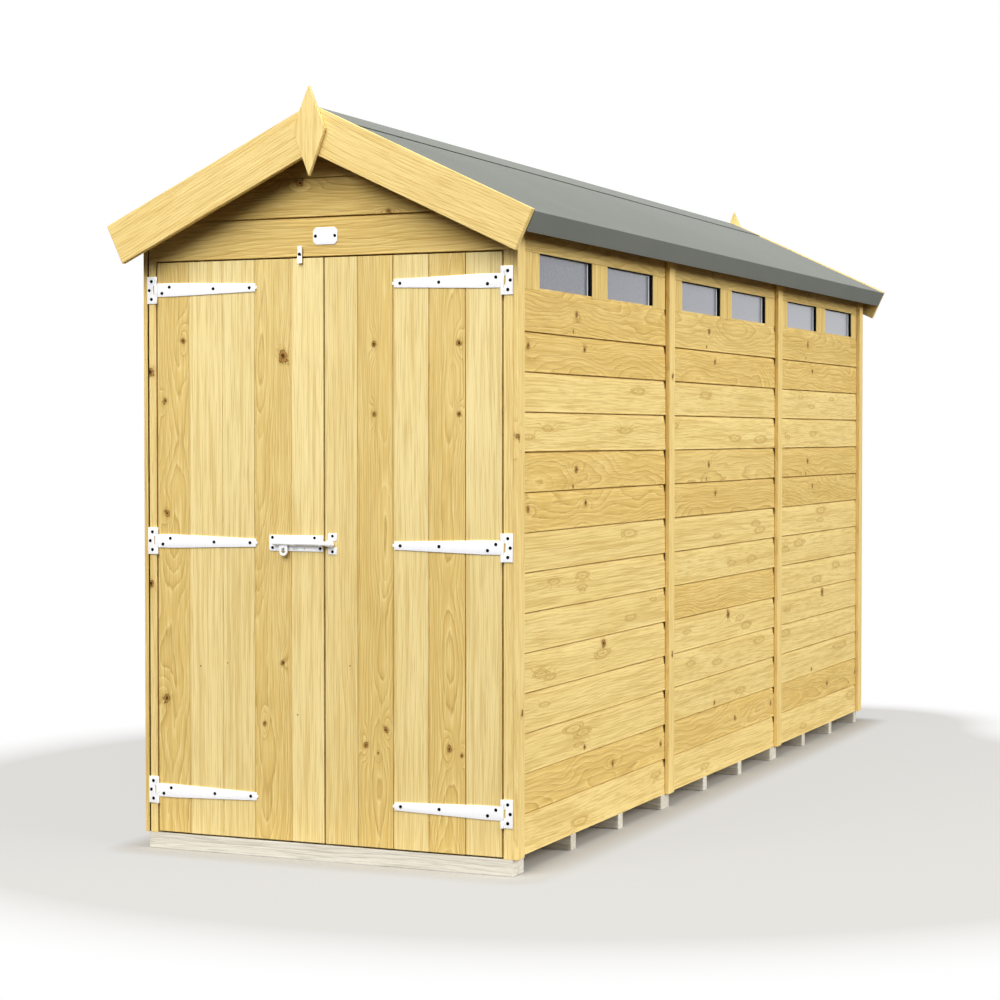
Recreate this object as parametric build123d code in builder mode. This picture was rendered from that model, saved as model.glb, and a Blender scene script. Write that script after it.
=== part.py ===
from build123d import *
import os
from math import atan, cos, radians, sin, tan

os.makedirs("parts", exist_ok=True)

# Wall box: the front face is at -Y, the ground is Z = 0
front_w = 1122.8        # over the two front posts
bearer_h = 45.0         # height of the ground bearers
gable_d = 50.0          # depth of a gable wall with its boards
panel_l = 1200.0        # one side wall panel
panels = 3
rear_cut = 60.0         # the rear panel is cut this much shorter
joint = 0.5             # pieces that share a node stand this far apart

# Lap boards
lap_t = 10.0            # thickness of a board
lap_pitch = 107.9       # exposed height of a board
lap_w = 123.0           # full height of a board
side_boards = 14

# Framing
stud = 27.0             # thickness of a stud
stud_w = 44.0           # wide face of a stud
plate_rise = 90.3       # top of the side walls' plates above the windows
rafter_toe = 36.0       # underside of the roof boards above the plates
floor_t = 12.0
bearer_w = 38.0
front_bearer_w = 36.0
section_bearers = 4     # under each floor section
floor_short = 34.0      # the last section ends this far before the rear face

# Corner and cover strips
strip_t = 13.2
strip_w = 54.0

# Doors
door_rise = 86.3        # top of the doors above the top side board
door_gap = 5.0          # running gap round each door
door_t = 15.0
door_boards = 5
groove = 2.0            # V groove between two door boards
stile_w = 30.0
ledge_h = 95.0
ledge_t = 20.0
ledge_end = 10.0        # ledge end to the door's free edge
brace_w = 70.0
brace_foot = 110.0      # length of a brace's foot along its ledge
door_stop = 20.0        # the header reaches this far down behind the doors
hinge_low = 117.0       # lowest hinge above the doors' lower edge
hinge_high = 76.0       # highest hinge below the doors' upper edge

# T hinges
leaf_t = 2.5
leaf_h = 76.0
leaf_w = 34.0
knuckle_r = 4.5
knuckle_gap = 0.4
pin_r = 2.5
pin_clearance = 0.06
strap_free = 213.4      # straps' ends to the doors' meeting line
strap_root = 37.5
strap_tip = 22.0
strap_straight = 60.0   # strap keeps its full height this far from the pin
nub_l = 5.0             # nub on the strap's end
nub_h = 8.0
slot_w = 5.0            # slot in the leaf beside the strap's knuckle
slot_h = 24.0

# Bolt
bolt_rise = 1.0         # bolt above the middle hinges
bolt_plate_l = 168.0
bolt_plate_h = 44.0
bolt_plate_t = 2.0
bolt_plate_r = 5.0      # rounded corners, at the plate's outer end
spare_hole_r = 2.0      # two screw holes left empty
spare_hole_in = 58.0    # from the plate's inner end
spare_hole_spread = 29.0
rod_r = 6.5
rod_l = 187.0
rod_reach = 32.0        # rod end past the doors' meeting line
rod_clearance = 0.4
rod_chamfer = 1.2
guide_w = 10.0
guide_t = 2.0
guide_foot = 8.0
guide_insets = (0.0, 84.0)  # from the plate's inner end
keep_w = 26.0           # feet
keep_arch_w = 15.0
keep_h = 58.0
keep_x = 12.6
eye_t = 6.0
eye_w = 24.5
eye_hole_w = 12.0
eye_drop = 35.0         # lowest point of the eye below the rod's axis
eye_from_tip = 154.0

# Turn button
button_x = -71.3
button_w = 13.5
button_up = 23.0
button_down = 25.0
button_t = 2.0
button_corner = 2.0
button_lap = 14.0       # button below the doors' top edge
button_pivot_r = 2.5
button_head_r = 4.5
button_head_t = 2.0
button_slack = 0.3

# Blank plate on the gable
badge_x = 4.5
badge_w = 74.0
badge_h = 47.0
badge_t = 1.5
badge_cut = 9.0
badge_up = 54.0         # its centre above the gable boards' lower edge
badge_screws = 60.0
badge_hole_r = 2.2

# Windows
window_h = 94.0
window_w = 398.0
window_gap = 125.0      # between a panel's two windows
window_inset = 2.0      # window frames behind the boards' face
rebate_d = 11.0         # glass behind the window frames' face
rebate_w = 15.0
glass_t = 4.0
glass_slack = 1.0
window_lip = 7.0
lip_inset = 0.4

# Roof
roof_pitch = 25.3
eaves_reach = 85.9      # barge boards' lower ends outside the walls
barge_w = 117.0
barge_t = 18.0
roof_overhang = 57.3    # roof boards beyond the gable faces
roof_board_t = 11.0
felt_t = 2.0
felt_drop = 4.0         # felt below the barge boards' top line
felt_band = 58.0
felt_bend = 1.8
eaves_rail_h = 42.0
cap_l = 130.0
cap_t = 1.6
ridge_rail_s = 35.0

# Finials
finial_up = 49.0        # upper point above the barge boards' peak
finial_h = 244.4
finial_mid = 127.0      # widest place above the lower point
finial_w = 96.8
finial_t = 12.0
finial_tip_r = 1.0

# Values that follow from the ones above
half_w = front_w / 2
wall_l = 2 * gable_d + panels * panel_l - rear_cut
y0 = -wall_l / 2                        # front face
y1 = wall_l / 2                         # rear face
z0 = bearer_h                           # lower edge of the cladding
lap_d = lap_t * (1 + lap_w / lap_pitch)
stud_x = half_w - lap_d                 # outer face of the side studs
inner_x = stud_x - stud
floor_top = z0 + floor_t
front_frame = (y0 + lap_d, y0 + gable_d)
rear_frame = (y1 - gable_d, y1 - lap_d)
section_l = (wall_l - front_bearer_w - floor_short) / panels
slope = radians(roof_pitch)
board_top = felt_drop + felt_t
board_under = board_top + roof_board_t
rail_under = board_under + stud_w
sill_z = z0 + (side_boards - 1) * lap_pitch + lap_w
head_z = sill_z + window_h
plate_top = head_z + plate_rise
peak_z = plate_top + rafter_toe + stud_x * tan(slope) + board_under / cos(slope)
barge_l = (half_w + eaves_reach) / cos(slope)
door_z0 = z0 + door_gap
door_z1 = sill_z + door_rise
door_h = door_z1 - door_z0
gable_z = door_z1 + door_gap
header_z = door_z1 - door_stop
ledge_zs = (door_z0 + hinge_low, (door_z0 + hinge_low + door_z1 - hinge_high) / 2, door_z1 - hinge_high)
bolt_z = ledge_zs[1] + bolt_rise
hinge_x = half_w - stile_w
hinge_y = y0 - knuckle_r
strap_l = hinge_x - strap_free
door_edge = hinge_x - door_gap / 2
door_mid = door_gap / 2
roof_ends = (y0 - roof_overhang, y1 + roof_overhang)
side_names = {-1: "left", 1: "right"}
panel_names = ("front", "middle", "rear")


def roof_z(x, depth):
    """Height of the line that lies `depth` below the barge boards' top line."""
    return peak_z - abs(x) * tan(slope) - depth / cos(slope)


def slope_point(side, s, depth):
    """X and Z of a place s down a roof slope and `depth` below its top line."""
    x = s * cos(slope) - depth * sin(slope)
    return (side * x, peak_z - s * sin(slope) - depth * cos(slope))


def beam(x_a, x_b, y_a, y_b, z_a, z_b):
    """Straight member between two corners."""
    middle = Pos((x_a + x_b) / 2, (y_a + y_b) / 2, (z_a + z_b) / 2)
    return middle * Box(abs(x_b - x_a), abs(y_b - y_a), abs(z_b - z_a), mode=Mode.PRIVATE)


def along_y(points, y_a, y_b):
    """Member along Y whose section has the given X, Z corners."""
    with BuildSketch(Plane.XZ.offset(-y_a), mode=Mode.PRIVATE) as section:
        Polygon(*points, align=None)
    return extrude(section.sketch, amount=y_a - y_b, mode=Mode.PRIVATE)


def along_x(points, x_a, x_b):
    """Member along X whose section has the given Y, Z corners."""
    with BuildSketch(Plane.YZ.offset(x_a), mode=Mode.PRIVATE) as section:
        Polygon(*points, align=None)
    return extrude(section.sketch, amount=x_b - x_a, mode=Mode.PRIVATE)


def lap_section(face, inward, low, count):
    """Outline of tilted boards, each lapped over the one below it."""
    tilt = lap_d - lap_t
    outside, inside = [], []
    for board in range(count):
        start = low + board * lap_pitch
        top = start + lap_w
        if board < count - 1:
            outside += [(face, start), (face + inward * lap_t, start + lap_pitch)]
        else:
            outside += [(face, start), (face + inward * tilt, top)]
        if board == 0:
            inside += [(face + inward * lap_t, start)]
        else:
            inside += [(face + inward * tilt, top - lap_pitch)]
        inside += [(face + inward * lap_d, top)]
    return outside + inside[::-1]


def save(piece, name):
    piece.label = name
    export_step(piece, f"parts/{name}.step")


# Floor
section_starts = [y0 + front_bearer_w + i * section_l for i in range(panels)]
bearer_step = (section_l - bearer_w) / (section_bearers - 1)
bearer_spans = [(y0, section_starts[0] - joint)]
for start in section_starts:
    lows = [start + i * bearer_step for i in range(section_bearers)]
    bearer_spans += [(low, low + bearer_w) for low in lows[:-1]]
    bearer_spans += [(lows[-1], start + section_l - joint)]

with BuildPart() as floor_bearers:
    add([beam(-half_w, half_w, low, high, 0, bearer_h) for low, high in bearer_spans])
save(floor_bearers.part, "floor_bearers")

floor_cuts = [front_frame[0] + joint] + section_starts[1:] + [rear_frame[1]]
with BuildPart() as floor_boards:
    spans = zip(floor_cuts, floor_cuts[1:])
    add([beam(-stud_x, stud_x, low, high - joint, z0, floor_top) for low, high in spans])
    with Locations((-half_w, y0, z0), (half_w, y0, z0)):
        Box(2 * (stud_w + joint), 2 * (gable_d + joint), 3 * floor_t, mode=Mode.SUBTRACT)
save(floor_boards.part, "floor_boards")

# Side walls
panel_starts = [y0 + gable_d + i * panel_l for i in range(panels)]
panel_cuts = panel_starts + [rear_frame[0]]
window_end = (panel_l - 2 * window_w - window_gap) / 2
frame_x = half_w - window_inset
glass_x = frame_x - rebate_d
lip_x = half_w - lap_t * (lap_w - window_lip) / lap_pitch + lip_inset


def window_upright(side, y_a, y_b, back_a, back_b):
    """Upright beside a window, rebated for the glass, lipped over the top board."""
    low, high = sill_z + joint, head_z - joint
    front = beam(side * glass_x, side * frame_x, y_a, y_b, low, high)
    back = beam(side * stud_x, side * glass_x, back_a, back_b, low, high)
    lip = beam(side * lip_x, side * frame_x, y_a, y_b, sill_z - window_lip, high)
    return front + back + lip


for side, side_name in side_names.items():
    for i, panel_name in enumerate(panel_names):
        with BuildPart() as cladding:
            section = lap_section(side * half_w, -side, z0, side_boards)
            add(along_y(section, panel_cuts[i], panel_cuts[i + 1] - joint))
        save(cladding.part, f"{side_name}_cladding_{panel_name}")

    frame = []
    rail_zs = (floor_top, bolt_z - stud_w / 2, sill_z - stud_w - joint)
    for start, end in zip(panel_cuts, panel_cuts[1:]):
        mid = start + panel_l / 2
        studs = [(start, start + stud), (mid - stud / 2, mid + stud / 2), (end - joint - stud, end - joint)]
        for low, high in studs:
            frame.append(
                beam(side * inner_x, side * stud_x, low, high, floor_top, plate_top - stud_w - joint)
            )
        for (_, low), (high, _) in zip(studs, studs[1:]):
            for z in rail_zs:
                frame.append(
                    beam(side * inner_x, side * stud_x, low + joint, high - joint, z, z + stud_w)
                )
        frame.append(beam(side * inner_x, side * stud_x, start, end - joint, plate_top - stud_w, plate_top))
    with BuildPart() as wall_frame:
        add(frame)
    save(wall_frame.part, f"{side_name}_wall_frame")

    head = [
        (side * glass_x, head_z),
        (side * frame_x, head_z),
        (side * frame_x, roof_z(frame_x, board_under)),
        (side * stud_x, roof_z(stud_x, board_under)),
        (side * stud_x, head_z + rebate_w),
        (side * glass_x, head_z + rebate_w),
    ]
    frames, panes = [], []
    for start, a, b in zip(panel_starts, panel_cuts, panel_cuts[1:]):
        w1 = start + window_end
        w2 = w1 + window_w
        w3 = w2 + window_gap
        w4 = w3 + window_w
        frames.append(window_upright(side, a, w1, a, w1 - rebate_w))
        frames.append(window_upright(side, w2, w3, w2 + rebate_w, w3 - rebate_w))
        frames.append(window_upright(side, w4, b - joint, w4 + rebate_w, b - joint))
        frames.append(along_y(head, a, b - joint))
        slack = rebate_w - glass_slack
        for low, high in ((w1 - slack, w2 + slack), (w3 - slack, w4 + slack)):
            panes.append(
                beam(side * (glass_x - glass_t), side * glass_x, low, high, sill_z, head_z + slack)
            )
    with BuildPart() as window_frames:
        add(frames)
    save(window_frames.part, f"{side_name}_window_frames")
    with BuildPart() as window_panes:
        add(panes)
    save(window_panes.part, f"{side_name}_window_panes")

    strips = [(y0, y0 + gable_d - joint)]
    strips += [(start - strip_w / 2, start + strip_w / 2) for start in panel_starts[1:]]
    strips += [(y1 - gable_d + joint, y1)]
    with BuildPart() as cover_strips:
        x_a, x_b = side * half_w, side * (half_w + strip_t)
        top = roof_z(x_b, board_under) - joint
        add([beam(x_a, x_b, low, high, z0, top) for low, high in strips])
    save(cover_strips.part, f"{side_name}_cover_strips")


# Gable walls
def rafters(y_a, y_b):
    """Pair of rafters under the roof boards, seated on the plates."""
    toe = stud_x - joint
    seat = (peak_z - rail_under / cos(slope) - plate_top) / tan(slope)
    pair = []
    for side in (-1, 1):
        points = [
            (side * joint, roof_z(joint, board_under)),
            (side * toe, roof_z(toe, board_under)),
            (side * toe, plate_top),
            (side * seat, plate_top),
            (side * joint, roof_z(joint, rail_under)),
        ]
        pair.append(along_y(points, y_a, y_b))
    return pair


far_x = 2 * half_w
above_roof = along_y(
    [
        (0, roof_z(0, board_under)),
        (far_x, roof_z(far_x, board_under)),
        (far_x, 2 * peak_z),
        (-far_x, 2 * peak_z),
        (-far_x, roof_z(far_x, board_under)),
    ],
    -wall_l,
    wall_l,
)
post_x = half_w - stud_w
king_top = roof_z(stud_w / 2, rail_under) - joint
peak_boards = int((roof_z(0, board_under) - gable_z) / lap_pitch) + 1

with BuildPart() as front_stiles:
    for side in (-1, 1):
        stile_x = side * (hinge_x + door_gap / 2)
        add(beam(stile_x, side * half_w, y0, front_frame[0], z0, gable_z - joint))
save(front_stiles.part, "front_stiles")

with BuildPart() as front_gable_cladding:
    add(along_x(lap_section(y0, 1, gable_z, peak_boards), -half_w, half_w))
    add(above_roof, mode=Mode.SUBTRACT)
save(front_gable_cladding.part, "front_gable_cladding")

all_boards = int((roof_z(0, board_under) - z0) / lap_pitch) + 1
with BuildPart() as rear_cladding:
    add(along_x(lap_section(y1, -1, z0, all_boards), -half_w, half_w))
    add(above_roof, mode=Mode.SUBTRACT)
save(rear_cladding.part, "rear_cladding")

header_top = header_z + stud_w
gable_frames = {}
for end, (y_a, y_b), foot in (("front", front_frame, z0), ("rear", rear_frame, floor_top)):
    pieces = rafters(y_b - stud, y_b) if end == "rear" else rafters(y_a, y_a + stud)
    for side in (-1, 1):
        pieces.append(beam(side * post_x, side * half_w, y_a, y_b, foot, plate_top - joint))
    pieces.append(beam(joint - post_x, post_x - joint, y_a, y_b, header_z, header_top))
    pieces.append(beam(-stud_w / 2, stud_w / 2, y_a, y_b, header_top + joint, king_top))
    if end == "rear":
        stud_ys = (y_a, y_b, floor_top, header_z - joint)
        third = post_x / 3
        pieces += [beam(x - stud / 2, x + stud / 2, *stud_ys) for x in (-third, third)]
        edges = (-post_x, -third - stud / 2, -third + stud / 2, third - stud / 2, third + stud / 2, post_x)
        for low, high in zip(edges[::2], edges[1::2]):
            for z in (floor_top, bolt_z - stud_w / 2):
                pieces.append(beam(low + joint, high - joint, y_a, y_b, z, z + stud_w))
    with BuildPart() as gable_frame:
        add(pieces)
    save(gable_frame.part, f"{end}_wall_frame")


# Roof
def slope_bar(side, s_a, s_b, depth_a, depth_b, y_a, y_b):
    """Bar along Y whose section is square to a roof slope."""
    corners = [(s_a, depth_a), (s_b, depth_a), (s_b, depth_b), (s_a, depth_b)]
    return along_y([slope_point(side, s, depth) for s, depth in corners], y_a, y_b)


truss_ys = [start - stud / 2 for start in panel_starts[1:]]
rail_stops = [front_frame[0] + stud]
for low in truss_ys:
    rail_stops += [low, low + stud]
rail_stops += [rear_frame[1] - stud]

trusses = []
tie_x = inner_x - joint
for low in truss_ys:
    trusses += rafters(low, low + stud)
    tie_y = low + stud + joint
    trusses.append(beam(-tie_x, tie_x, tie_y, tie_y + stud, plate_top, plate_top + stud_w))
with BuildPart() as roof_trusses:
    add(trusses)
save(roof_trusses.part, "roof_trusses")

rails = []
for side in (-1, 1):
    eaves_s = barge_l - stud
    eaves_depth = board_under + eaves_rail_h
    rails.append(slope_bar(side, eaves_s, barge_l, board_under, eaves_depth, *roof_ends))
    for low, high in zip(rail_stops[::2], rail_stops[1::2]):
        ends = (low + 2 * joint, high - joint) if low == rail_stops[0] else (low + joint, high - joint)
        for s in (ridge_rail_s, barge_l / 2):
            rails.append(slope_bar(side, s, s + stud, board_under, rail_under, *ends))
with BuildPart() as roof_rails:
    add(rails)
save(roof_rails.part, "roof_rails")

for side, side_name in side_names.items():
    ridge_x = joint / 2
    with BuildPart() as roof_board:
        points = [
            (side * ridge_x, roof_z(ridge_x, board_top)),
            slope_point(side, barge_l, board_top),
            slope_point(side, barge_l, board_under),
            (side * ridge_x, roof_z(ridge_x, board_under)),
        ]
        add(along_y(points, *roof_ends))
    save(roof_board.part, f"{side_name}_roof_board")

    with BuildPart() as roof_felt:
        points = [
            (side * ridge_x, roof_z(ridge_x, felt_drop)),
            slope_point(side, barge_l + felt_t, felt_drop),
            slope_point(side, barge_l + felt_t, felt_drop + felt_band),
            slope_point(side, barge_l, felt_drop + felt_band),
            slope_point(side, barge_l, board_top),
            (side * ridge_x, roof_z(ridge_x, board_top)),
        ]
        add(along_y(points, *roof_ends))
        outer = roof_felt.edges().filter_by(Axis.Y).sort_by(Axis.X)
        lowest_two = outer[-2:] if side > 0 else outer[:2]
        fillet(lowest_two.sort_by(Axis.Z)[-1], felt_bend)
    save(roof_felt.part, f"{side_name}_roof_felt")

    with BuildPart() as barge_boards:
        points = [
            (side * ridge_x, roof_z(ridge_x, 0)),
            slope_point(side, barge_l, 0),
            slope_point(side, barge_l, barge_w),
            (side * ridge_x, roof_z(ridge_x, barge_w)),
        ]
        add(along_y(points, roof_ends[0] - barge_t, roof_ends[0]))
        add(along_y(points, roof_ends[1], roof_ends[1] + barge_t))
    save(barge_boards.part, f"{side_name}_barge_boards")

with BuildPart() as ridge_felt:
    points = [
        (0, roof_z(0, felt_drop - cap_t)),
        slope_point(1, cap_l, felt_drop - cap_t),
        slope_point(1, cap_l, felt_drop),
        (0, roof_z(0, felt_drop)),
        slope_point(-1, cap_l, felt_drop),
        slope_point(-1, cap_l, felt_drop - cap_t),
    ]
    add(along_y(points, *roof_ends))
save(ridge_felt.part, "ridge_felt")

finial_z = peak_z + finial_up - finial_h
for end, face in (("front", roof_ends[0] - barge_t - finial_t), ("rear", roof_ends[1] + barge_t)):
    with BuildPart() as finial:
        points = [
            (0, finial_z),
            (finial_w / 2, finial_z + finial_mid),
            (0, finial_z + finial_h),
            (-finial_w / 2, finial_z + finial_mid),
        ]
        add(along_y(points, face, face + finial_t))
        tips = finial.edges().filter_by(Axis.Y).sort_by(Axis.Z)
        fillet([tips[0], tips[-1]], finial_tip_r)
    save(finial.part, f"{end}_finial")

# Doors
ledge_a = post_x - door_gap - joint
ledge_b = door_mid + ledge_end
ledge_ys = (y0 + door_t, y0 + door_t + ledge_t)
board_w = (door_edge - door_mid) / door_boards
for side, side_name in side_names.items():
    with BuildPart() as door_panel:
        add(beam(side * door_mid, side * door_edge, y0, y0 + door_t, door_z0, door_z1))
        with BuildSketch(Plane.XY.offset(door_z0)):
            for i in range(1, door_boards):
                x = side * (door_mid + i * board_w)
                Polygon((x - groove, y0), (x + groove, y0), (x, y0 + groove), align=None)
        extrude(amount=door_h, mode=Mode.SUBTRACT)
    save(door_panel.part, f"{side_name}_door_boards")

    with BuildPart() as door_ledges:
        for z in ledge_zs:
            add(beam(side * ledge_a, side * ledge_b, *ledge_ys, z - ledge_h / 2, z + ledge_h / 2))
        for low, high in zip(ledge_zs, ledge_zs[1:]):
            z_a = low + ledge_h / 2 + joint
            z_b = high - ledge_h / 2 - joint
            brace = [
                (side * ledge_a, z_a),
                (side * (ledge_a - brace_foot), z_a),
                (side * ledge_b, z_b - brace_w),
                (side * ledge_b, z_b),
                (side * (ledge_b + brace_foot), z_b),
                (side * ledge_a, z_a + brace_w),
            ]
            add(along_y(brace, *ledge_ys))
    save(door_ledges.part, f"{side_name}_door_ledges")

# T hinges: plates on the stiles, tapered straps on the doors, pins through both
plate_knuckle = (leaf_h - strap_root) / 2 - knuckle_gap
leaf_end = hinge_x - knuckle_r + leaf_w
leaf_start = hinge_x + knuckle_r + knuckle_gap
slot_end = leaf_start + slot_w
with BuildPart() as hinge_plates:
    for z in ledge_zs:
        for low in (z - leaf_h / 2, z + leaf_h / 2 - plate_knuckle):
            with BuildSketch(Plane.XY.offset(low)):
                with Locations((hinge_x, hinge_y)):
                    Circle(knuckle_r)
                with Locations(((hinge_x + leaf_end) / 2, y0 - leaf_t / 2)):
                    Rectangle(leaf_end - hinge_x, leaf_t)
                with Locations((hinge_x, hinge_y)):
                    Circle(pin_r, mode=Mode.SUBTRACT)
            extrude(amount=plate_knuckle)
        add(beam(leaf_start, leaf_end, y0 - leaf_t, y0, z - leaf_h / 2, z + leaf_h / 2))
        with Locations(((leaf_start + slot_end) / 2, y0, z)):
            Box(slot_w, 4 * leaf_t, slot_h, mode=Mode.SUBTRACT)
    mirror(about=Plane.YZ)
save(hinge_plates.part, "hinge_plates")

with BuildPart() as hinge_pins:
    for z in ledge_zs:
        with BuildSketch(Plane.XY.offset(z - leaf_h / 2)):
            with Locations((hinge_x, hinge_y), (-hinge_x, hinge_y)):
                Circle(pin_r)
        extrude(amount=leaf_h)
save(hinge_pins.part, "hinge_pins")

for side, side_name in side_names.items():
    with BuildPart() as hinge_straps:
        for z in ledge_zs:
            half_outline = [
                (hinge_x, strap_root / 2),
                (hinge_x - strap_straight, strap_root / 2),
                (hinge_x - strap_l, strap_tip / 2),
                (hinge_x - strap_l, nub_h / 2),
                (hinge_x - strap_l - nub_l, nub_h / 2),
            ]
            outline = [(side * x, z - dz) for x, dz in half_outline]
            outline += [(side * x, z + dz) for x, dz in reversed(half_outline)]
            add(along_y(outline, y0 - leaf_t, y0))
            with BuildSketch(Plane.XY.offset(z - strap_root / 2)):
                with Locations((side * hinge_x, hinge_y)):
                    Circle(knuckle_r)
            extrude(amount=strap_root)
            with BuildSketch(Plane.XY.offset(z - strap_root)):
                with Locations((side * hinge_x, hinge_y)):
                    Circle(pin_r + pin_clearance)
            extrude(amount=2 * strap_root, mode=Mode.SUBTRACT)
    save(hinge_straps.part, f"{side_name}_hinge_straps")

# Bolt: plate and guides on the left door, rod, keep on the right door
rod_y = y0 - bolt_plate_t - rod_clearance - rod_r
arch_r = rod_r + rod_clearance
plate_x = -door_mid


def rod_arch(x_a, width, foot_y, foot_l):
    """Strap bent over the rod, with a flat foot above and below it."""
    legs_y = (rod_y + foot_y) / 2
    with BuildSketch(Plane.YZ.offset(x_a), mode=Mode.PRIVATE) as section:
        with Locations((rod_y, bolt_z)):
            Circle(arch_r + guide_t)
        with Locations((legs_y, bolt_z)):
            Rectangle(foot_y - rod_y, 2 * (arch_r + guide_t))
        with Locations((foot_y - guide_t / 2, bolt_z)):
            Rectangle(guide_t, 2 * (arch_r + guide_t + foot_l))
        with Locations((rod_y, bolt_z)):
            Circle(arch_r, mode=Mode.SUBTRACT)
        with Locations((legs_y, bolt_z)):
            Rectangle(foot_y - rod_y, 2 * arch_r, mode=Mode.SUBTRACT)
    return extrude(section.sketch, amount=width, mode=Mode.PRIVATE)


with BuildPart() as bolt_plate:
    plate_zs = (bolt_z - bolt_plate_h / 2, bolt_z + bolt_plate_h / 2)
    add(beam(plate_x - bolt_plate_l, plate_x, y0 - bolt_plate_t, y0, *plate_zs))
    fillet(bolt_plate.edges().filter_by(Axis.Y).sort_by(Axis.X)[:2], bolt_plate_r)
    hole_x = plate_x - spare_hole_in
    with Locations(Plane((hole_x, y0 - bolt_plate_t, bolt_z), x_dir=(1, 0, 0), z_dir=(0, -1, 0))):
        with GridLocations(spare_hole_spread, spare_hole_spread, 1, 2):
            Hole(spare_hole_r, depth=2 * bolt_plate_t)
    for inset in guide_insets:
        add(rod_arch(plate_x - inset - guide_w, guide_w, y0 - bolt_plate_t, guide_foot))
save(bolt_plate.part, "bolt_plate")

with BuildPart() as bolt_rod:
    with BuildSketch(Plane.YZ.offset(rod_reach - rod_l)):
        with Locations((rod_y, bolt_z)):
            Circle(rod_r)
    extrude(amount=rod_l)
    chamfer(bolt_rod.edges().filter_by(GeomType.CIRCLE), rod_chamfer)
    eye_x = rod_reach - eye_from_tip
    with BuildSketch(Plane.XZ.offset(-rod_y - eye_t / 2)):
        with Locations((eye_x, bolt_z - eye_drop / 2)):
            SlotOverall(eye_drop, eye_w, rotation=90)
        with Locations((eye_x, bolt_z - (eye_drop + rod_r) / 2)):
            SlotOverall(eye_drop - rod_r - eye_w + eye_hole_w, eye_hole_w, rotation=90, mode=Mode.SUBTRACT)
    extrude(amount=eye_t)
save(bolt_rod.part, "bolt_rod")

with BuildPart() as bolt_keep:
    foot_z = arch_r + guide_t
    add(rod_arch(keep_x, keep_arch_w, y0, keep_h / 2 - foot_z))
    foot_ys = (y0 - guide_t, y0)
    add(beam(keep_x, keep_x + keep_w, *foot_ys, bolt_z + foot_z, bolt_z + keep_h / 2))
    add(beam(keep_x, keep_x + keep_w, *foot_ys, bolt_z - keep_h / 2, bolt_z - foot_z))
save(bolt_keep.part, "bolt_keep")

# Turn button over the doors, on a screw in the lowest gable board
button_z = door_z1 - button_lap + button_down
button_y = y0 - door_gap
seat_y = y0 + lap_t * (button_z - gable_z) / lap_pitch - joint
screw_ys = (
    (button_head_r, seat_y, button_y + button_slack),
    (button_pivot_r, button_y + button_slack, button_y - button_t - button_slack),
    (
        button_head_r,
        button_y - button_t - button_slack,
        button_y - button_t - button_slack - button_head_t,
    ),
)
with BuildPart() as turn_button_screw:
    for radius, back, front in screw_ys:
        with BuildSketch(Plane.XZ.offset(-back)):
            with Locations((button_x, button_z)):
                Circle(radius)
        extrude(amount=back - front)
save(turn_button_screw.part, "turn_button_screw")

with BuildPart() as turn_button:
    with BuildSketch(Plane.XZ.offset(-button_y)):
        with Locations((button_x, button_z + (button_up - button_down) / 2)):
            RectangleRounded(button_w, button_up + button_down, button_corner)
        with Locations((button_x, button_z)):
            Circle(button_pivot_r + pin_clearance, mode=Mode.SUBTRACT)
    extrude(amount=button_t)
save(turn_button.part, "turn_button")

# Blank plate on the lowest gable board
badge_tilt = atan(lap_t / lap_pitch)
badge_plane = Plane(
    origin=(badge_x, y0 + badge_up * tan(badge_tilt), gable_z + badge_up),
    x_dir=(1, 0, 0),
    z_dir=(0, -cos(badge_tilt), sin(badge_tilt)),
)
with BuildPart() as blank_plate:
    with BuildSketch(badge_plane):
        Rectangle(badge_w, badge_h)
        chamfer(vertices(), badge_cut)
        with GridLocations(badge_screws, badge_h, 2, 1):
            Circle(badge_hole_r, mode=Mode.SUBTRACT)
    extrude(amount=badge_t)
save(blank_plate.part, "blank_plate")
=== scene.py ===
from math import cos, pi, radians, sin
from random import Random
from zlib import crc32

import bmesh
import bpy
import numpy as np
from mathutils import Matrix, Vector
from mathutils.bvhtree import BVHTree

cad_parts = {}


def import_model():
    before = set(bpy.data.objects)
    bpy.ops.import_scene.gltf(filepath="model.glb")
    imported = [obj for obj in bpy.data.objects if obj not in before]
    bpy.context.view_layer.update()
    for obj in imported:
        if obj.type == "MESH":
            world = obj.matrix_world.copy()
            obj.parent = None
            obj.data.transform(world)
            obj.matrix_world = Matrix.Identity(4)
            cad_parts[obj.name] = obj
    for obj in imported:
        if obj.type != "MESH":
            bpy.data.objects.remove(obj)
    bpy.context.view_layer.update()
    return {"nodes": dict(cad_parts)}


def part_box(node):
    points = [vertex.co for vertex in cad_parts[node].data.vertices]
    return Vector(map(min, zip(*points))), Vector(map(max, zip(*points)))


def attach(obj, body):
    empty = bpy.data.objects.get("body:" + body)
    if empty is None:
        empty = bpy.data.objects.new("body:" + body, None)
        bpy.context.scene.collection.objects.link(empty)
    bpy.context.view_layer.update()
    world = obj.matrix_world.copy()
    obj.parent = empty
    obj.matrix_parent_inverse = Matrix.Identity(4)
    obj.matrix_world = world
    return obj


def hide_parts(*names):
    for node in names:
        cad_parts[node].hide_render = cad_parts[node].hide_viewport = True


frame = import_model()

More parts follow.
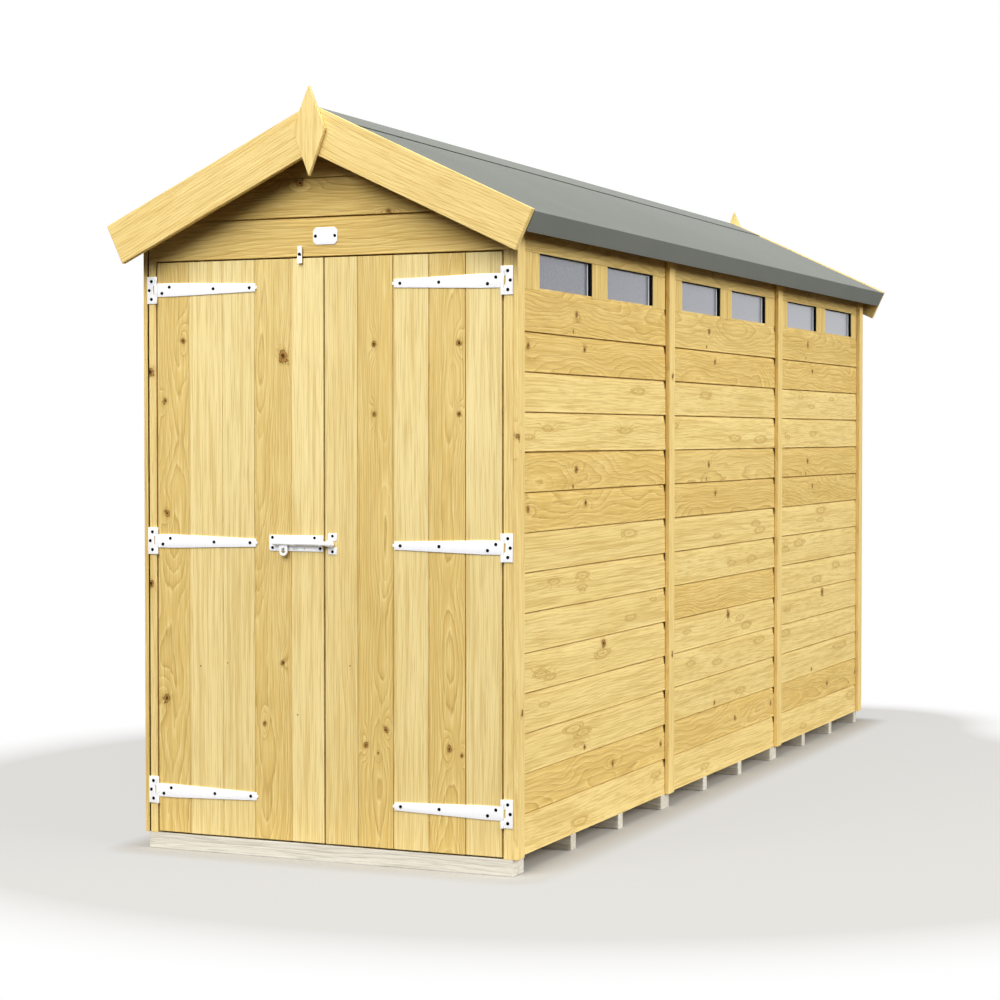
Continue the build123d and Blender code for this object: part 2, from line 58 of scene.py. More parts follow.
# Sizes that the frame's boxes don't give, in metres
LAP_T = 0.010           # lap board's thickness
LAP_W = 0.123           # its width, with what the next board covers
LAP_RAISE = 0.004       # boards above the lowest stand this much higher
SIDE_BOARDS = 14
PANEL_L = 1.2
SEAL_BACK = 0.0035      # glazing seals' face behind the wall's
STILE_GAP = 0.0048      # left stile clear of its corner strip
NOTCH_DEPTH = 0.0034    # board ends stand off the strips over them
NOTCH_H = 0.0225
NOTCH_RUN = 0.008
HEART_OFF = 0.05        # tree's heart aside of a board's middle
ROOF_PITCH = radians(25.3)
FLOOR_BOARDS = 9
ROOF_PLANKS = 7
BOARD_GAP = 0.0006      # between boards that lie edge to edge
PLANK_EDGE = 0.001      # rounding of their edges
HAIR = 0.001            # how far a knot may lie outside its board
CLEAR = 1.0             # well outside any board

# A board carries up to five knots or pale eyes, each as one vertex value
FEATURES = ("knot_a", "knot_b", "knot_c", "knot_d", "knot_e")
AXES = {"X": Vector((1, 0, 0)), "Y": Vector((0, 1, 0)), "Z": Vector((0, 0, 1))}


def srgb(r, g, b):
    """Colour given as it shows on a screen, 0 to 255, as the shader wants it."""
    linear = [(c / 255 / 12.92) if c < 10.3 else ((c / 255 + 0.055) / 1.055) ** 2.4 for c in (r, g, b)]
    return (*linear, 1.0)


# Shader building
class Net:
    """Short calls for building the nodes of one material, or of the world."""

    def __init__(self, name, world=False):
        self.owner = (bpy.data.worlds if world else bpy.data.materials).new(name)
        self.owner.use_nodes = True
        self.tree = self.owner.node_tree
        self.tree.nodes.clear()
        self.out = self.node("ShaderNodeOutputWorld" if world else "ShaderNodeOutputMaterial")

    def node(self, kind, settings=None, **inputs):
        made = self.tree.nodes.new(kind)
        for key, value in (settings or {}).items():
            setattr(made, key, value)
        for key, value in inputs.items():
            self.put(made.inputs[key.replace("_", " ")], value)
        return made

    def put(self, socket, value):
        if isinstance(value, bpy.types.NodeSocket):
            self.tree.links.new(value, socket)
        elif value is not None:
            socket.default_value = value

    def math(self, operation, *values, clamp=False):
        made = self.node("ShaderNodeMath", {"operation": operation, "use_clamp": clamp})
        for socket, value in zip(made.inputs, values):
            self.put(socket, value)
        return made.outputs[0]

    def vector(self, operation, *values, out=0):
        made = self.node("ShaderNodeVectorMath", {"operation": operation})
        for socket, value in zip(made.inputs, values):
            self.put(socket, value)
        return made.outputs[out]

    def length(self, vector):
        return self.vector("LENGTH", vector, out=1)

    def join(self, x, y, z):
        return self.node("ShaderNodeCombineXYZ", X=x, Y=y, Z=z).outputs[0]

    def split(self, vector):
        return self.node("ShaderNodeSeparateXYZ", Vector=vector).outputs

    def place(self):
        return self.node("ShaderNodeTexCoord").outputs["Object"]

    def attribute(self, name):
        return self.node("ShaderNodeAttribute", {"attribute_name": name}).outputs["Vector"]

    def noise(self, vector, scale=1.0, detail=2.0, colour=False):
        made = self.node("ShaderNodeTexNoise", Vector=vector, Scale=scale, Detail=detail)
        return made.outputs["Color" if colour else "Fac"]

    def span(self, value, low, high, to_low=0.0, to_high=1.0):
        """Value eased from one span to another, and held at its ends."""
        made = self.node("ShaderNodeMapRange", {"interpolation_type": "SMOOTHSTEP"})
        for socket, number in zip(made.inputs, (value, low, high, to_low, to_high)):
            self.put(socket, number)
        return made.outputs[0]

    def ramp(self, value, stops):
        made = self.node("ShaderNodeValToRGB", Fac=value)
        points = made.color_ramp.elements
        while len(points) < len(stops):
            points.new(0.5)
        for point, (place, colour) in zip(points, stops):
            point.position = place
            point.color = colour if isinstance(colour, tuple) else (colour, colour, colour, 1)
        return made.outputs["Color"]

    def mix(self, share, a, b, blend="MIX"):
        made = self.node("ShaderNodeMix", {"data_type": "RGBA", "blend_type": blend})
        self.put(made.inputs["Factor"], share)
        for socket, value in zip([s for s in made.inputs if s.type == "RGBA"], (a, b)):
            self.put(socket, value)
        return next(s for s in made.outputs if s.type == "RGBA")

    def bump(self, height, strength, distance):
        return self.node("ShaderNodeBump", Strength=strength, Distance=distance, Height=height).outputs[0]

    def surface(self, colour, roughness, normal=None, **others):
        shader = self.node("ShaderNodeBsdfPrincipled", Roughness=roughness)
        self.put(shader.inputs["Base Color"], colour)
        self.put(shader.inputs["Normal"], normal)
        for key, value in others.items():
            self.put(shader.inputs[key.replace("_", " ")], value)
        self.put(self.out.inputs["Surface"], shader.outputs[0])
        return self.owner

    def seen(self):
        """1 where a surface is looked at, also in a reflection or through glass, 0 where it gives light."""
        path = self.node("ShaderNodeLightPath").outputs
        looks = self.math("MAXIMUM", path["Is Camera Ray"], path["Is Glossy Ray"])
        return self.math("MAXIMUM", looks, path["Is Transmission Ray"])

    def blend(self, share, first, second):
        """Puts out two shaders mixed."""
        made = self.node("ShaderNodeMixShader")
        for socket, value in zip(made.inputs, (share, first.outputs[0], second.outputs[0])):
            self.put(socket, value)
        self.put(self.out.inputs["Surface"], made.outputs[0])


# Stands for no knot near, in radii of a knot
FAR = 20.0
# A knot's heart from its middle outwards
HEART_TONES = (
    (0.0, (56, 36, 16)),
    (0.16, (84, 58, 28)),
    (0.26, (158, 116, 60)),
    (0.4, (182, 140, 78)),
    (0.5, (104, 72, 34)),
)
# Rings of a pale eye, and how strong late and early wood show across one growth ring
EYE_RINGS = ((0.0, 0.5), (0.1, 0.15), (0.27, 0.0), (0.34, 0.7), (0.4, 0.08), (0.48, 0.5), (0.55, 0.0))
LATE_WOOD = ((0.0, 0.0), (0.4, 0.08), (0.76, 0.42), (0.9, 1.0), (1.0, 0.0))
EARLY_WOOD = ((0.0, 1.0), (0.06, 0.9), (0.24, 0.0))


def wood(name, pale, honey, line, ring=112.0, contrast=0.5, roughness=0.62, fibre_pitch=9.0):
    """Sawn softwood: growth rings round a wandering pith, fibres, and knots that bend the rings.
    Grain runs along u. Ring is rings per metre, contrast is how dark they show in honey boards."""
    net = Net(name)
    grain = net.attribute("grain")
    honey_share, level, _ = net.split(net.attribute("tint"))
    u, v, _ = net.split(grain)

    # A board's features: a knot where the radius is above 0, a pale eye where it is below. Near and eye
    # are the distances to them in radii, and bulge is how far the rings bend round them.
    wobble = net.math("MULTIPLY_ADD", net.noise(grain, 70.0, 2.0), 1.8, 0.1)
    waver = net.noise(net.vector("MULTIPLY", grain, (10.0, 55.0, 55.0)), 1.0, 1.0)
    waver = net.math("SUBTRACT", net.math("MULTIPLY_ADD", waver, 1.1, 0.45), wobble)
    near, eye, bulge = FAR, FAR, 0.0
    for key in FEATURES:
        knot_u, knot_v, size = net.split(net.attribute(key))
        away_u, away_v = net.math("SUBTRACT", u, knot_u), net.math("SUBTRACT", v, knot_v)
        radius = net.math("MAXIMUM", net.math("ABSOLUTE", size), 1e-5)
        pale_one = net.math("LESS_THAN", size, 0.0)
        stretch = net.math("MULTIPLY_ADD", pale_one, -0.65, 0.85)
        unrest = net.math("MULTIPLY_ADD", pale_one, waver, wobble)
        reach = net.length(net.join(net.math("MULTIPLY", away_u, stretch), away_v, 0.0))
        reach = net.math("DIVIDE", net.math("MULTIPLY", reach, unrest), radius)
        flow = net.length(net.join(net.math("MULTIPLY", away_u, 0.3), away_v, 0.0))
        flow = net.math("DIVIDE", flow, radius)
        bulge = net.math("MAXIMUM", bulge, net.span(flow, 0.2, 3.6, 1.0, 0.0))
        near = net.math("MINIMUM", near, net.math("MULTIPLY_ADD", pale_one, FAR, reach))
        eye_reach = net.math("MULTIPLY_ADD", pale_one, -FAR, net.math("ADD", reach, FAR))
        eye = net.math("MINIMUM", eye, eye_reach)

    # Rings
    slow = net.noise(net.vector("MULTIPLY", grain, (0.9, 0.8, 0.8)), 1.0, 1.0, colour=True)
    drift = net.vector("MULTIPLY", net.vector("SUBTRACT", slow, (0.5, 0.5, 0.5)), (0.0, 0.14, 0.08))
    ripple = net.noise(net.vector("MULTIPLY", grain, (3.4, 9.0, 9.0)), 1.0, 0.6)
    sway = net.math("MULTIPLY_ADD", honey_share, 6.5, 1.2)
    ripple = net.math("MULTIPLY", net.math("SUBTRACT", ripple, 0.5), sway)
    shiver = net.noise(net.vector("MULTIPLY", grain, (9.0, 40.0, 40.0)), 1.0, 1.0)
    ragged = net.noise(net.vector("MULTIPLY", grain, (26.0, 170.0, 170.0)), 1.0, 1.0)
    from_pith = net.length(net.vector("MULTIPLY", net.vector("ADD", grain, drift), (0.0, 1.0, 1.0)))
    phase = net.math("MULTIPLY_ADD", from_pith, ring, net.math("MULTIPLY_ADD", shiver, 0.7, ripple))
    phase = net.math("MULTIPLY_ADD", ragged, 0.25, phase)
    phase = net.math("MULTIPLY_ADD", bulge, 2.2, phase)
    within = net.math("FRACT", phase)
    late = net.ramp(within, LATE_WOOD)
    early = net.ramp(within, EARLY_WOOD)
    count = net.math("FLOOR", phase)
    each = net.node("ShaderNodeTexWhiteNoise", {"noise_dimensions": "1D"}, W=count).outputs["Value"]
    late = net.math("MULTIPLY", late, net.math("MULTIPLY_ADD", each, 0.75, 0.25))

    # Colour
    cloud = net.noise(net.vector("MULTIPLY", grain, (2.5, 14.0, 14.0)), 1.0, 2.0)
    share = net.math("ADD", honey_share, net.math("MULTIPLY_ADD", cloud, 0.8, -0.4), clamp=True)
    fibre = net.noise(net.vector("MULTIPLY", grain, (fibre_pitch, 330.0, 330.0)), 1.0, 2.0)
    streak = net.noise(net.vector("MULTIPLY", grain, (fibre_pitch / 3, 90.0, 90.0)), 1.0, 2.0)
    colour = net.mix(share, pale, honey)
    deep = tuple(0.6 * a + 0.4 * b for a, b in zip(honey, line))
    colour = net.mix(net.math("MULTIPLY", early, net.math("MULTIPLY_ADD", share, 0.32, 0.1)), colour, pale)
    depth = net.math("MULTIPLY_ADD", bulge, 0.2, net.math("MULTIPLY_ADD", share, contrast, 0.3))
    colour = net.mix(net.math("MULTIPLY", late, depth), colour, line)
    colour = net.mix(net.span(fibre, 0.5, 0.7, 0.0, 0.36), colour, line)
    colour = net.mix(net.span(streak, 0.48, 0.66, 0.0, 0.5), colour, deep)
    colour = net.mix(net.span(fibre, 0.46, 0.28, 0.0, 0.5), colour, pale)
    colour = net.mix(net.span(eye, 0.7, 1.5, 0.25, 0.0), colour, honey)
    colour = net.mix(net.ramp(net.math("MULTIPLY", eye, 0.4), EYE_RINGS), colour, line)
    colour = net.mix(net.span(near, 1.0, 2.4, 0.4, 0.0), colour, line)
    torn = net.math("SUBTRACT", net.noise(grain, 260.0, 2.0), 0.5)
    depth = net.math("MULTIPLY_ADD", near, 0.5, net.math("MULTIPLY", torn, 0.5))
    heart = net.ramp(depth, [(place, srgb(*tone)) for place, tone in HEART_TONES])
    colour = net.mix(net.span(near, 0.95, 1.25, 1.0, 0.0), colour, heart)
    # Level scales the colour: each board's own random tone, and the painted light and shade carried by its
    # lit values
    colour = net.mix(1.0, colour, net.join(level, level, level), "MULTIPLY")
    height = net.math("MULTIPLY_ADD", late, -0.7, net.math("MULTIPLY_ADD", streak, 0.6, fibre))
    rough = net.math("MULTIPLY_ADD", cloud, 0.16, roughness - 0.08)
    return net.surface(colour, rough, net.bump(height, 0.55, 0.0014), Specular_IOR_Level=0.06)


def zinc():
    """Bright zinc plate: pale, satin, with faint cloudy crystals."""
    net = Net("zinc_plate")
    place = net.place()
    crystals = net.node("ShaderNodeTexVoronoi", Vector=place, Scale=260.0).outputs["Color"]
    cloud = net.noise(place, 90.0, 3.0)
    colour = net.mix(net.split(crystals)[0], srgb(254, 254, 255), srgb(247, 248, 251))
    colour = net.mix(net.span(cloud, 0.5, 0.8, 0.0, 0.2), colour, srgb(226, 227, 232))
    rough = net.math("MULTIPLY_ADD", cloud, 0.16, 0.26)
    return net.surface(colour, rough, net.bump(cloud, 0.12, 0.0003), Metallic=0.2)


def black_steel():
    """Black screws, worn a little."""
    net = Net("black_screw")
    place = net.place()
    wear = net.noise(place, 700.0, 3.0)
    colour = net.mix(net.span(wear, 0.55, 0.75), srgb(6, 6, 7), srgb(26, 25, 26))
    return net.surface(colour, 0.6, net.bump(wear, 0.2, 0.0002), Specular_IOR_Level=0.06)


def mineral_felt():
    """Green-grey roofing felt: fine mineral grit over a faintly uneven sheet, with a painted sheen where it
    is seen at a grazing angle.
    """
    net = Net("mineral_felt")
    place = net.place()
    grit = net.node("ShaderNodeTexVoronoi", Vector=place, Scale=950.0)
    cloud = net.noise(place, 3.0, 4.0)
    fine = net.noise(place, 420.0, 2.0)
    speck = net.split(grit.outputs["Color"])[0]
    colour = net.mix(speck, srgb(109, 112, 106), srgb(121, 124, 117))
    colour = net.mix(net.span(cloud, 0.35, 0.7, 0.0, 0.3), colour, srgb(104, 107, 102))
    colour = net.mix(net.span(fine, 0.6, 0.8, 0.0, 0.35), colour, srgb(88, 92, 87))
    # Painted sheen: the felt is lighter where it is seen at a grazing angle
    facing = net.node("ShaderNodeLayerWeight", Blend=0.5).outputs["Facing"]
    colour = net.mix(net.span(facing, 0.92, 0.965, 0.0, 0.27), colour, srgb(176, 179, 173))
    height = net.math("MULTIPLY_ADD", grit.outputs["Distance"], 0.7, fine)
    return net.surface(colour, 0.88, net.bump(height, 0.5, 0.0008), Specular_IOR_Level=0.25)


def frosted_glass():
    """Pale blue-grey pane with a fine pebbled back, and a painted reflection that lightens it where it is
    seen at a grazing angle.
    """
    net = Net("frosted_pane")
    place = net.place()
    pebble = net.noise(place, 160.0, 2.0)
    cloud = net.noise(place, 5.0, 2.0)
    speckle = net.noise(place, 420.0, 2.0)
    # Painted reflection: the pane is lighter where it is seen at a grazing angle
    facing = net.node("ShaderNodeLayerWeight", Blend=0.5).outputs["Facing"]
    colour = net.mix(cloud, srgb(84, 87, 98), srgb(100, 103, 113))
    colour = net.mix(net.span(facing, 0.6, 0.78, 0.0, 0.8), colour, srgb(172, 174, 182))
    colour = net.mix(net.span(speckle, 0.35, 0.75, 0.0, 0.5), colour, srgb(150, 153, 163))
    return net.surface(colour, 0.16, net.bump(pebble, 0.5, 0.0008), Specular_IOR_Level=0.85)


def seal_and_shade():
    """Dark glazing seal with some dust. Its black is also painted shade for the window reveals."""
    net = Net("glazing_seal_and_shade")
    place = net.place()
    dust = net.noise(place, 240.0, 3.0)
    colour = net.mix(net.span(dust, 0.5, 0.8), srgb(6, 6, 6), srgb(26, 23, 19))
    return net.surface(colour, 0.7, net.bump(dust, 0.2, 0.0003), Specular_IOR_Level=0.08)


def pale_highlight_bead():
    """Pale glazing bead, faintly soiled. It stands for the bright edge of the pane: a painted highlight."""
    net = Net("glazing_highlight_bead")
    place = net.place()
    dust = net.noise(place, 180.0, 3.0)
    colour = net.mix(net.span(dust, 0.45, 0.8), srgb(238, 239, 241), srgb(218, 219, 221))
    return net.surface(colour, 0.35, net.bump(dust, 0.15, 0.0002))


# Materials. Woods have their pale, honey and line colours.
LAP = wood("lap_board", srgb(242, 217, 146), srgb(224, 191, 112), srgb(172, 132, 62), fibre_pitch=3.2)
DOOR_COLOURS = (srgb(246, 226, 164), srgb(229, 198, 120), srgb(180, 142, 72))
DOOR = wood("door_board", *DOOR_COLOURS, ring=155.0, fibre_pitch=4.5)
TRIM = wood("trim_wood", srgb(244, 219, 150), srgb(230, 198, 120), srgb(188, 146, 72))
FRAMING = wood("framing", srgb(232, 210, 158), srgb(214, 184, 120), srgb(170, 132, 74), roughness=0.78)
FLOOR = wood("floor_board", srgb(224, 200, 146), srgb(206, 176, 116), srgb(164, 126, 72), roughness=0.7)
ROOF = wood("roof_board", srgb(186, 164, 116), srgb(168, 140, 92), srgb(128, 98, 56), roughness=0.8)
BEARER = wood("bearer_wood", srgb(224, 220, 208), srgb(208, 202, 188), srgb(150, 141, 124), ring=90.0)
ZINC = zinc()
SCREW = black_steel()
FELT = mineral_felt()
PANE = frosted_glass()
SEAL_AND_SHADE = seal_and_shade()
HIGHLIGHT_BEAD = pale_highlight_bead()


# Solids
def evenly(low, high, count):
    """Places that part a span into equal shares, with its ends."""
    return [low + (high - low) * i / count for i in range(count + 1)]


def along_wall(a, b, c):
    """Point of a section that runs from front to back."""
    return Vector((a, c, b))


def across_gable(a, b, c):
    """Point of a section that runs from left to right."""
    return Vector((c, a, b))


def prism(outline, place, stations):
    """Closed solid of an outline swept through stations, where place(a, b, c) gives its points."""
    bm = bmesh.new()
    rings = []
    for c in stations:
        rings.append([bm.verts.new(place(a, b, c)) for a, b in outline])
    for low, high in zip(rings, rings[1:]):
        for j in range(len(outline)):
            k = (j + 1) % len(outline)
            bm.faces.new((low[j], low[k], high[k], high[j]))
    bm.faces.new(rings[0][::-1])
    bm.faces.new(rings[-1])
    bmesh.ops.recalc_face_normals(bm, faces=bm.faces)
    return bm


def ease(bm, width, segments=2, angle=25):
    """Rounds a solid's sharp edges."""
    edges = [e for e in bm.edges if e.is_manifold and e.calc_face_angle(0) > radians(angle)]
    bmesh.ops.bevel(
        bm,
        geom=edges,
        offset=width,
        offset_type="OFFSET",
        segments=segments,
        profile=0.6,
        affect="EDGES",
        clamp_overlap=True,
    )
    return bm


def trim(bm, point, normal):
    """Cuts off what lies beyond a plane and closes the cut."""
    bmesh.ops.bisect_plane(
        bm,
        geom=bm.verts[:] + bm.edges[:] + bm.faces[:],
        dist=1e-6,
        plane_co=point,
        plane_no=normal,
        clear_outer=True,
    )
    open_edges = [e for e in bm.edges if e.is_boundary]
    if open_edges:
        bmesh.ops.holes_fill(bm, edges=open_edges, sides=0)
        bmesh.ops.recalc_face_normals(bm, faces=bm.faces)
    return bm


def node_mesh(node):
    """A CAD node's faces, joined up and with flat faces whole."""
    bm = bmesh.new()
    bm.from_mesh(frame["nodes"][node].data)
    bmesh.ops.remove_doubles(bm, verts=bm.verts, dist=2e-5)
    bmesh.ops.dissolve_limit(bm, angle_limit=radians(1), verts=bm.verts, edges=bm.edges)
    bmesh.ops.recalc_face_normals(bm, faces=bm.faces)
    return bm


def solids(node):
    """The separate solids of a CAD node."""
    whole = node_mesh(node)
    whole.faces.ensure_lookup_table()
    seen, found = set(), []
    for first in whole.faces:
        if first.index in seen:
            continue
        group, stack = [], [first]
        seen.add(first.index)
        while stack:
            face = stack.pop()
            group.append(face)
            for edge in face.edges:
                for other in edge.link_faces:
                    if other.index not in seen:
                        seen.add(other.index)
                        stack.append(other)
        bm = bmesh.new()
        made = {}
        for face in group:
            for v in face.verts:
                if v not in made:
                    made[v] = bm.verts.new(v.co)
            bm.faces.new([made[v] for v in face.verts])
        bmesh.ops.recalc_face_normals(bm, faces=bm.faces)
        found.append(bm)
    whole.free()
    return sorted(found, key=middle)


def middle(bm):
    """A solid's middle, to the tenth of a millimetre, front to back first."""
    return tuple(round(sum(v.co[i] for v in bm.verts) / len(bm.verts), 4) for i in (1, 0, 2))


def own_axes(bm, along=None):
    """A solid's centre and its long, wide and thin directions."""
    co = np.array([v.co for v in bm.verts])
    centre = (co.min(0) + co.max(0)) / 2
    if along is not None:
        first = np.array(along)
        others = [a for a in np.eye(3) if abs(a @ first) < 0.9]
        reach = [np.ptp(co @ a) for a in others]
        second = others[int(reach[1] > reach[0])]
        return centre, (first, second, np.cross(first, second))
    values, vectors = np.linalg.eigh(np.cov((co - co.mean(0)).T))
    order = np.argsort(values)[::-1]
    return centre, tuple(vectors[:, i] for i in order)


NO_FEATURE = (0.0, 0.0, 0.0)
HONEY_FROM = 0.5


class Piece:
    """One visible piece made of many solids, each with its own grain, tint and knots."""

    def __init__(self, name):
        self.name = name
        self.random = Random(crc32(name.encode()))
        self.co, self.faces = [], []
        self.values = {key: [] for key in ("grain", "tint", *FEATURES)}

    def add(self, bm, along=None, tone=None, knots=None, plain=False, off=0.0):
        """Takes a solid in. Its grain runs along its length or the given way. Knots are (place, radius).
        A plain solid has none. Tone is 0 for pale to 1 for honey. Off is how far aside of the board's
        middle the tree's heart lay. The solid's own lit values add painted light and shade to its colour, and
        its rich values add to its tone."""
        rng = self.random
        centre, axes = own_axes(bm, along)
        tone = rng.uniform(0.1, 0.9) if tone is None else tone
        level = rng.uniform(0.965, 1.0)
        start_u = rng.uniform(0, 90)
        if tone > HONEY_FROM:
            across = rng.uniform(-0.02, 0.02) + rng.choice((-off, off))
            shift = (start_u, across, rng.uniform(0.035, 0.07))
        else:
            across = rng.choice((-1, 1)) * rng.uniform(0.08, 0.2)
            shift = (start_u, across, rng.uniform(-0.02, 0.02))
        co = np.array([v.co for v in bm.verts]) - centre
        grain = np.stack([co @ axis + move for axis, move in zip(axes, shift)], 1)
        grain[:, 2] += (co @ axes[0]) * rng.uniform(0.015, 0.04) * rng.choice((-1, 1))
        spots = []
        for place, radius in knots or ():
            away = np.array(place) - centre
            spots.append((away @ axes[0] + shift[0], away @ axes[1] + shift[1], radius))
        if knots is None and not plain:
            long, wide = np.ptp(co @ axes[0]), np.ptp(co @ axes[1])
            for _ in range(rng.choice((0, 1, 1, 2, 3)) if wide > 0.03 else rng.choice((0, 0, 1))):
                sign = 1 if rng.random() < 0.3 + 0.5 * tone else -1
                radius = sign * rng.uniform(0.004, 0.008)
                room = max(wide / 2 - abs(radius) * 1.6, 0.0)
                spot = (rng.uniform(-0.46, 0.46) * long, rng.uniform(-room, room))
                spots.append((spot[0] + shift[0], spot[1] + shift[1], radius))
        spots = (spots + [NO_FEATURE] * len(FEATURES))[: len(FEATURES)]
        start = len(self.co)
        bm.verts.index_update()
        lit, rich = (bm.verts.layers.float.get(key) for key in ("lit", "rich"))
        for vert in bm.verts:
            self.co.append(tuple(vert.co))
            light = level * (1 + (vert[lit] if lit else 0))
            self.values["tint"].append((tone + (vert[rich] if rich else 0), light, 0.0))
        self.values["grain"].extend(grain.tolist())
        for key, spot in zip(FEATURES, spots):
            self.values[key].extend([spot] * len(bm.verts))
        for face in bm.faces:
            self.faces.append([start + v.index for v in face.verts])
        bm.free()

    def finish(self, material, body, slot, *nodes, smooth=None):
        """Makes the object, which rides its body and takes the place of the given CAD nodes."""
        mesh = bpy.data.meshes.new(self.name)
        mesh.from_pydata(self.co, [], self.faces)
        mesh.update()
        for key, values in self.values.items():
            layer = mesh.attributes.new(key, "FLOAT_VECTOR", "POINT")
            layer.data.foreach_set("vector", np.array(values, np.float32).ravel())
        mesh.materials.append(material)
        obj = bpy.data.objects.new(self.name, mesh)
        bpy.context.scene.collection.objects.link(obj)
        if smooth:
            mesh.polygons.foreach_set("use_smooth", [True] * len(mesh.polygons))
            mesh.set_sharp_from_angle(angle=radians(smooth))
        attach(obj, body)
        if nodes:
            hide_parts(*nodes)


def timber(name, node, material, slot, body="shed", bevel=0.0012, along=None, tone=None, plain=False):
    """The solids of a CAD node as eased timber. Along is one direction, or is worked out for each solid."""
    piece = Piece(name)
    for bm in solids(node):
        way = along(bm) if callable(along) else along
        piece.add(ease(bm, bevel), way, tone, plain=plain)
    piece.finish(material, body, slot, node)


def inside(bm, knots):
    """The knots that lie within a solid's box, or a hair outside it."""
    co = np.array([v.co for v in bm.verts])
    low, high = co.min(0) - HAIR, co.max(0) + HAIR
    return [(place, r) for place, r in knots if all(low[i] < place[i] < high[i] for i in (0, 1, 2))]


def planks(name, node, material, slot, body, axis, cuts, along="Y", gaps=(), tones=(), knots=None, rich=0.0):
    """A CAD sheet as separate boards, cut across the given direction at the given places.
    Rich deepens their tone towards the ground."""
    piece = Piece(name)
    axis = axis.normalized()
    gaps = gaps or [BOARD_GAP] * (len(cuts) - 2)
    # The outer cuts lie well outside the sheet, so that its own edges stay
    starts = [cuts[0] - CLEAR, *(cut + gap / 2 for cut, gap in zip(cuts[1:], gaps))]
    ends = [*(cut - gap / 2 for cut, gap in zip(cuts[1:], gaps)), cuts[-1] + CLEAR]
    for bm in solids(node):
        for i, (start, end) in enumerate(zip(starts, ends)):
            part = bm.copy()
            trim(part, axis * end, axis)
            trim(part, axis * start, -axis)
            if not part.faces:
                part.free()
                continue
            found = inside(part, knots) if knots is not None else None
            ease(part, PLANK_EDGE, 1)
            layer = part.verts.layers.float.new("rich")
            for vert in part.verts:
                vert[layer] = rich * max(0.0, 1 - vert.co.z / peak_z)
            piece.add(part, AXES[along], tones[i] if tones else None, found)
        bm.free()
    piece.finish(material, body, slot, node)


# Lap cladding
low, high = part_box("left_cladding_front")
half_w, clad_low, clad_high = -low.x, low.z, high.z
lap_pitch = (clad_high - clad_low - LAP_W) / (SIDE_BOARDS - 1)
lap_depth = LAP_T * (1 + LAP_W / lap_pitch)
lap_tilt = lap_depth - LAP_T
peak_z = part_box("left_barge_boards")[1].z

EDGE_GAIN = 0.08        # painted highlight: a board's lower edge is made this much lighter, as if it caught more light
LAP_FALL = 0.0009       # its face leans back this far up to its flat part's end
LAP_FLAT_END = 0.028    # from there to the next board's edge


def lap_profile(low, shown, top_row):
    """Outline of a board as (depth behind the face, height, painted gain of light), with its shown height
    given.
    """
    front = [(0.0, 0.0, EDGE_GAIN), (0.0, 0.0045, EDGE_GAIN), (0.0002, 0.0065, 0.0)]
    front += [(LAP_FALL, shown - LAP_FLAT_END, 0.0), (0.0012, shown - 0.0215, 0.0)]
    if top_row:
        top = shown
        front += [(0.0022, top - 0.012, 0.0), (0.0045, top, 0.0)]
    else:
        top = shown + LAP_W - lap_pitch
        rise = shown - 0.0038
        front += [(0.0020, shown - 0.012, 0.0), (0.0042, rise, 0.0), (0.0104, rise + 0.0016, 0.0)]
        front += [(lap_tilt, top, 0.0)]
    back = [(lap_depth, top, 0.0), (LAP_T, 0.0, 0.0)]
    return [(depth, low + height, light) for depth, height, light in front + back]


def lap_board(face, inward, low, shown, place, run, rng, top_row=False, strips=()):
    """One board, its lower edge a hair out of true. Beside the strips over it, it lies back near its top."""
    wave = [(rng.uniform(0, 6.28), rng.uniform(1.5, 4.0), rng.uniform(0.0002, 0.0005)) for _ in range(2)]
    lift = rng.uniform(-0.0005, 0.0005)
    sink = rng.uniform(0, 0.0006)
    profile = lap_profile(low, shown, top_row)

    def bent(a, b, c):
        # The lower edge moves in full, the covered upper edge hardly
        share = 1 - (b - low) / LAP_W
        rise = lift + sum(size * sin(pitch * c + turn) for turn, pitch, size in wave)
        under_strip = any(near < c < far for near, far in strips)
        notched = under_strip and 0 < low + shown - b < NOTCH_H and abs(a - face) < LAP_T / 2
        depth = a + inward * (NOTCH_DEPTH if notched else 0.0)
        return place(depth, b + max(rise, clad_low - low) * share, c)

    outline = [(face + inward * (depth + sink * (depth < LAP_T / 2)), height) for depth, height, _ in profile]
    turns = [c for a, b in strips for c in (a - NOTCH_RUN, a + 1e-5, b - 1e-5, b + NOTCH_RUN)]
    stations = evenly(*run, 6) + [c for c in turns if run[0] < c < run[1]]
    bm = prism(outline, bent, sorted(stations))
    # The lit values paint a highlight along each board's lower edge
    lit = bm.verts.layers.float.new("lit")
    bm.verts.ensure_lookup_table()
    for i, vert in enumerate(bm.verts):
        vert[lit] = profile[i % len(profile)][2]
    return ease(bm, 0.001, 2, 40)


# Which boards are pale or honey, from the lowest up
SIDE_TONES = {"front": "phpppppphhpphh", "middle": "phppphpphmpphm", "rear": "phpppppphhpphh"}
TONES = {"p": 0.16, "m": 0.6, "h": 0.86}
# Knots of a panel's boards as (from the panel's front edge, height, radius)
PANEL_KNOTS = (
    (0.412, 1.513, 0.008),
    (0.385, 1.464, 0.004),
    (0.055, 1.412, 0.008),
    (0.475, 1.416, 0.007),
    (0.413, 1.076, 0.008),
    (0.386, 1.028, 0.004),
    (0.056, 0.974, 0.008),
    (0.484, 0.979, 0.007),
    (0.631, 0.565, 0.012),
    (0.478, 0.281, 0.006),
    (0.707, 0.203, 0.008),
    (1.136, 0.208, 0.007),
)


def strip_spans(side_name):
    """Where along the wall its cover strips lie."""
    spans = []
    for bm in solids(f"{side_name}_cover_strips"):
        along = [v.co.y for v in bm.verts]
        spans.append((min(along), max(along)))
        bm.free()
    return spans


